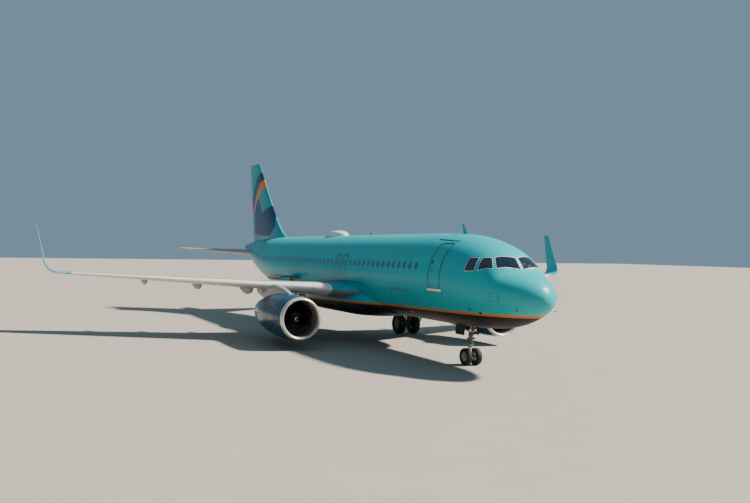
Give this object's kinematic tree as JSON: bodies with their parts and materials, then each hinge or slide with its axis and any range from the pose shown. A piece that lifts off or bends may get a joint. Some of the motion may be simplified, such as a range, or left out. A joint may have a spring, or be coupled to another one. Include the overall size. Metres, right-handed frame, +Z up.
{
  "type": "narrow body twin-engine airliner",
  "caption": "Single-aisle jet airliner parked on its landing gear, with curved winglets, underwing fan engines, hinged control surfaces and an open rear cargo door.",
  "frame": {"origin": "on the ground under the middle of the bounding box", "axes": "+X to the nose, +Y to port, +Z up"},
  "size_m": [37.57, 35.7984, 11.76],
  "materials": {
    "teal_paint": "gloss polyurethane paint, slightly weathered",
    "belly_navy_paint": "gloss dark navy paint",
    "stripe_orange_paint": "gloss orange stripe paint",
    "fin_navy_paint": "gloss navy and teal paint with an orange stripe",
    "cowl_navy_paint": "gloss navy paint",
    "wing_grey_paint": "satin grey paint",
    "winglet_paint": "gloss pale grey paint",
    "tailplane_paint": "satin warm grey paint",
    "marking_white_paint": "gloss white paint",
    "marking_dark_paint": "satin dark outline paint",
    "gear_paint": "grey paint with oil and brake dust",
    "wheel_rim_paint": "silver paint, dusty",
    "bare_aluminium": "polished bare metal",
    "fan_titanium": "dark satin titanium",
    "exhaust_metal": "heat-tinted nickel alloy",
    "tail_cone_metal": "heat-stained metal",
    "chromed_piston": "hard chrome",
    "cockpit_glass": "dark coated glass",
    "cabin_glass": "dark acrylic pane",
    "lamp_glass": "clear lens",
    "tyre_rubber": "worn black rubber",
    "black_plastic": "matte black rubber seals and hoses",
    "hold_lining": "scuffed hold lining"
  },
  "bodies": {
    "airframe": {"radome": "teal_paint", "nose_section": "teal_paint", "forward_fuselage": "teal_paint", "centre_fuselage": "teal_paint", "aft_fuselage": "teal_paint", "tail_section": "teal_paint", "belly_fairing": "teal_paint", "passenger_door_forward_left": "teal_paint", "passenger_door_forward_right": "teal_paint", "passenger_door_aft_left": "teal_paint", "passenger_door_aft_right": "teal_paint", "crown_radome": "marking_white_paint", "cockpit_glazing": "cockpit_glass", "tail_cone": "tail_cone_metal", "wing_left": "wing_grey_paint", "wing_right": "wing_grey_paint", "flap_inboard_left": "wing_grey_paint", "flap_inboard_right": "wing_grey_paint", "flap_outboard_left": "wing_grey_paint", "flap_outboard_right": "wing_grey_paint", "slats_left": "bare_aluminium", "slats_right": "bare_aluminium", "inlet_lip_left": "bare_aluminium", "inlet_lip_right": "bare_aluminium", "winglet_left": "winglet_paint", "winglet_right": "winglet_paint", "pylon_left": "winglet_paint", "pylon_right": "winglet_paint", "fin": "fin_navy_paint", "stabiliser_left": "tailplane_paint", "stabiliser_right": "tailplane_paint", "nacelle_left": "cowl_navy_paint", "nacelle_right": "cowl_navy_paint", "engine_core_left": "exhaust_metal", "engine_core_right": "exhaust_metal", "nose_leg": "gear_paint", "main_leg_left": "gear_paint", "main_leg_right": "gear_paint", "nose_gear_door_left": "belly_navy_paint", "nose_gear_door_right": "belly_navy_paint"},
    "rudder": {"rudder": "fin_navy_paint"},
    "elevator_left": {"elevator_left": "tailplane_paint"},
    "elevator_right": {"elevator_right": "tailplane_paint"},
    "aileron_left": {"aileron_left": "wing_grey_paint"},
    "aileron_right": {"aileron_right": "wing_grey_paint"},
    "fan_left": {"fan_left": "fan_titanium"},
    "fan_right": {"fan_right": "fan_titanium"},
    "cargo_door_forward": {"cargo_door_forward": "teal_paint"},
    "cargo_door_aft": {"cargo_door_aft": "teal_paint"},
    "nose_steering": {"nose_piston": "gear_paint"},
    "nose_wheels": {"nose_rims": "wheel_rim_paint", "nose_tyre_left": "tyre_rubber", "nose_tyre_right": "tyre_rubber"},
    "main_wheels_left": {"main_rims_left": "wheel_rim_paint", "main_tyre_outer_left": "tyre_rubber", "main_tyre_inner_left": "tyre_rubber"},
    "main_wheels_right": {"main_rims_right": "wheel_rim_paint", "main_tyre_outer_right": "tyre_rubber", "main_tyre_inner_right": "tyre_rubber"}
  },
  "joints": [
    {"name": "rudder_hinge", "type": "hinge", "parent": "airframe", "child": "rudder", "pos_m": [-15.18613, 0, 6.02], "axis": [-0.3767, 0, 0.9263], "range_deg": [-25, 25]},
    {"name": "elevator_left_hinge", "type": "hinge", "parent": "airframe", "child": "elevator_left", "pos_m": [-15.84618, 1.06, 4.71182], "axis": [-0.3044, 0.9517, 0.0406], "range_deg": [-17, 30]},
    {"name": "elevator_right_hinge", "type": "hinge", "parent": "airframe", "child": "elevator_right", "pos_m": [-15.84618, -1.06, 4.71182], "axis": [0.3044, 0.9517, -0.0406], "range_deg": [-17, 30]},
    {"name": "aileron_left_hinge", "type": "hinge", "parent": "airframe", "child": "aileron_left", "pos_m": [-1.54292, 12.9, 3.32423], "axis": [-0.3193, 0.9465, 0.0463], "range_deg": [-25, 25]},
    {"name": "aileron_right_hinge", "type": "hinge", "parent": "airframe", "child": "aileron_right", "pos_m": [-1.54292, -12.9, 3.32423], "axis": [0.3193, 0.9465, -0.0463], "range_deg": [-25, 25]},
    {"name": "cargo_door_forward_hinge", "type": "hinge", "parent": "airframe", "child": "cargo_door_forward", "pos_m": [10.625, -1.895, 3.2], "axis": [-1, 0, 0], "range_deg": [0, 146]},
    {"name": "cargo_door_aft_hinge", "type": "hinge", "parent": "airframe", "child": "cargo_door_aft", "pos_m": [-2.965, -1.895, 3.2], "axis": [-1, 0, 0], "range_deg": [-128, 18]},
    {"name": "nose_steering", "type": "hinge", "parent": "airframe", "child": "nose_steering", "pos_m": [13.715, 0, 0.9], "axis": [0, 0, 1], "range_deg": [-75, 75]},
    {"name": "nose_wheel_spin", "type": "hinge", "parent": "nose_steering", "child": "nose_wheels", "pos_m": [13.715, 0, 0.381], "axis": [0, 1, 0], "continuous": true},
    {"name": "main_wheel_spin_left", "type": "hinge", "parent": "airframe", "child": "main_wheels_left", "pos_m": [1.075, 3.795, 0.584], "axis": [0, 1, 0], "continuous": true},
    {"name": "main_wheel_spin_right", "type": "hinge", "parent": "airframe", "child": "main_wheels_right", "pos_m": [1.075, -3.795, 0.584], "axis": [0, 1, 0], "continuous": true},
    {"name": "fan_spin_left", "type": "hinge", "parent": "airframe", "child": "fan_left", "pos_m": [6.985, 5.755, 1.58], "axis": [1, 0, 0], "continuous": true},
    {"name": "fan_spin_right", "type": "hinge", "parent": "airframe", "child": "fan_right", "pos_m": [6.985, -5.755, 1.58], "axis": [1, 0, 0], "continuous": true}
  ]
}
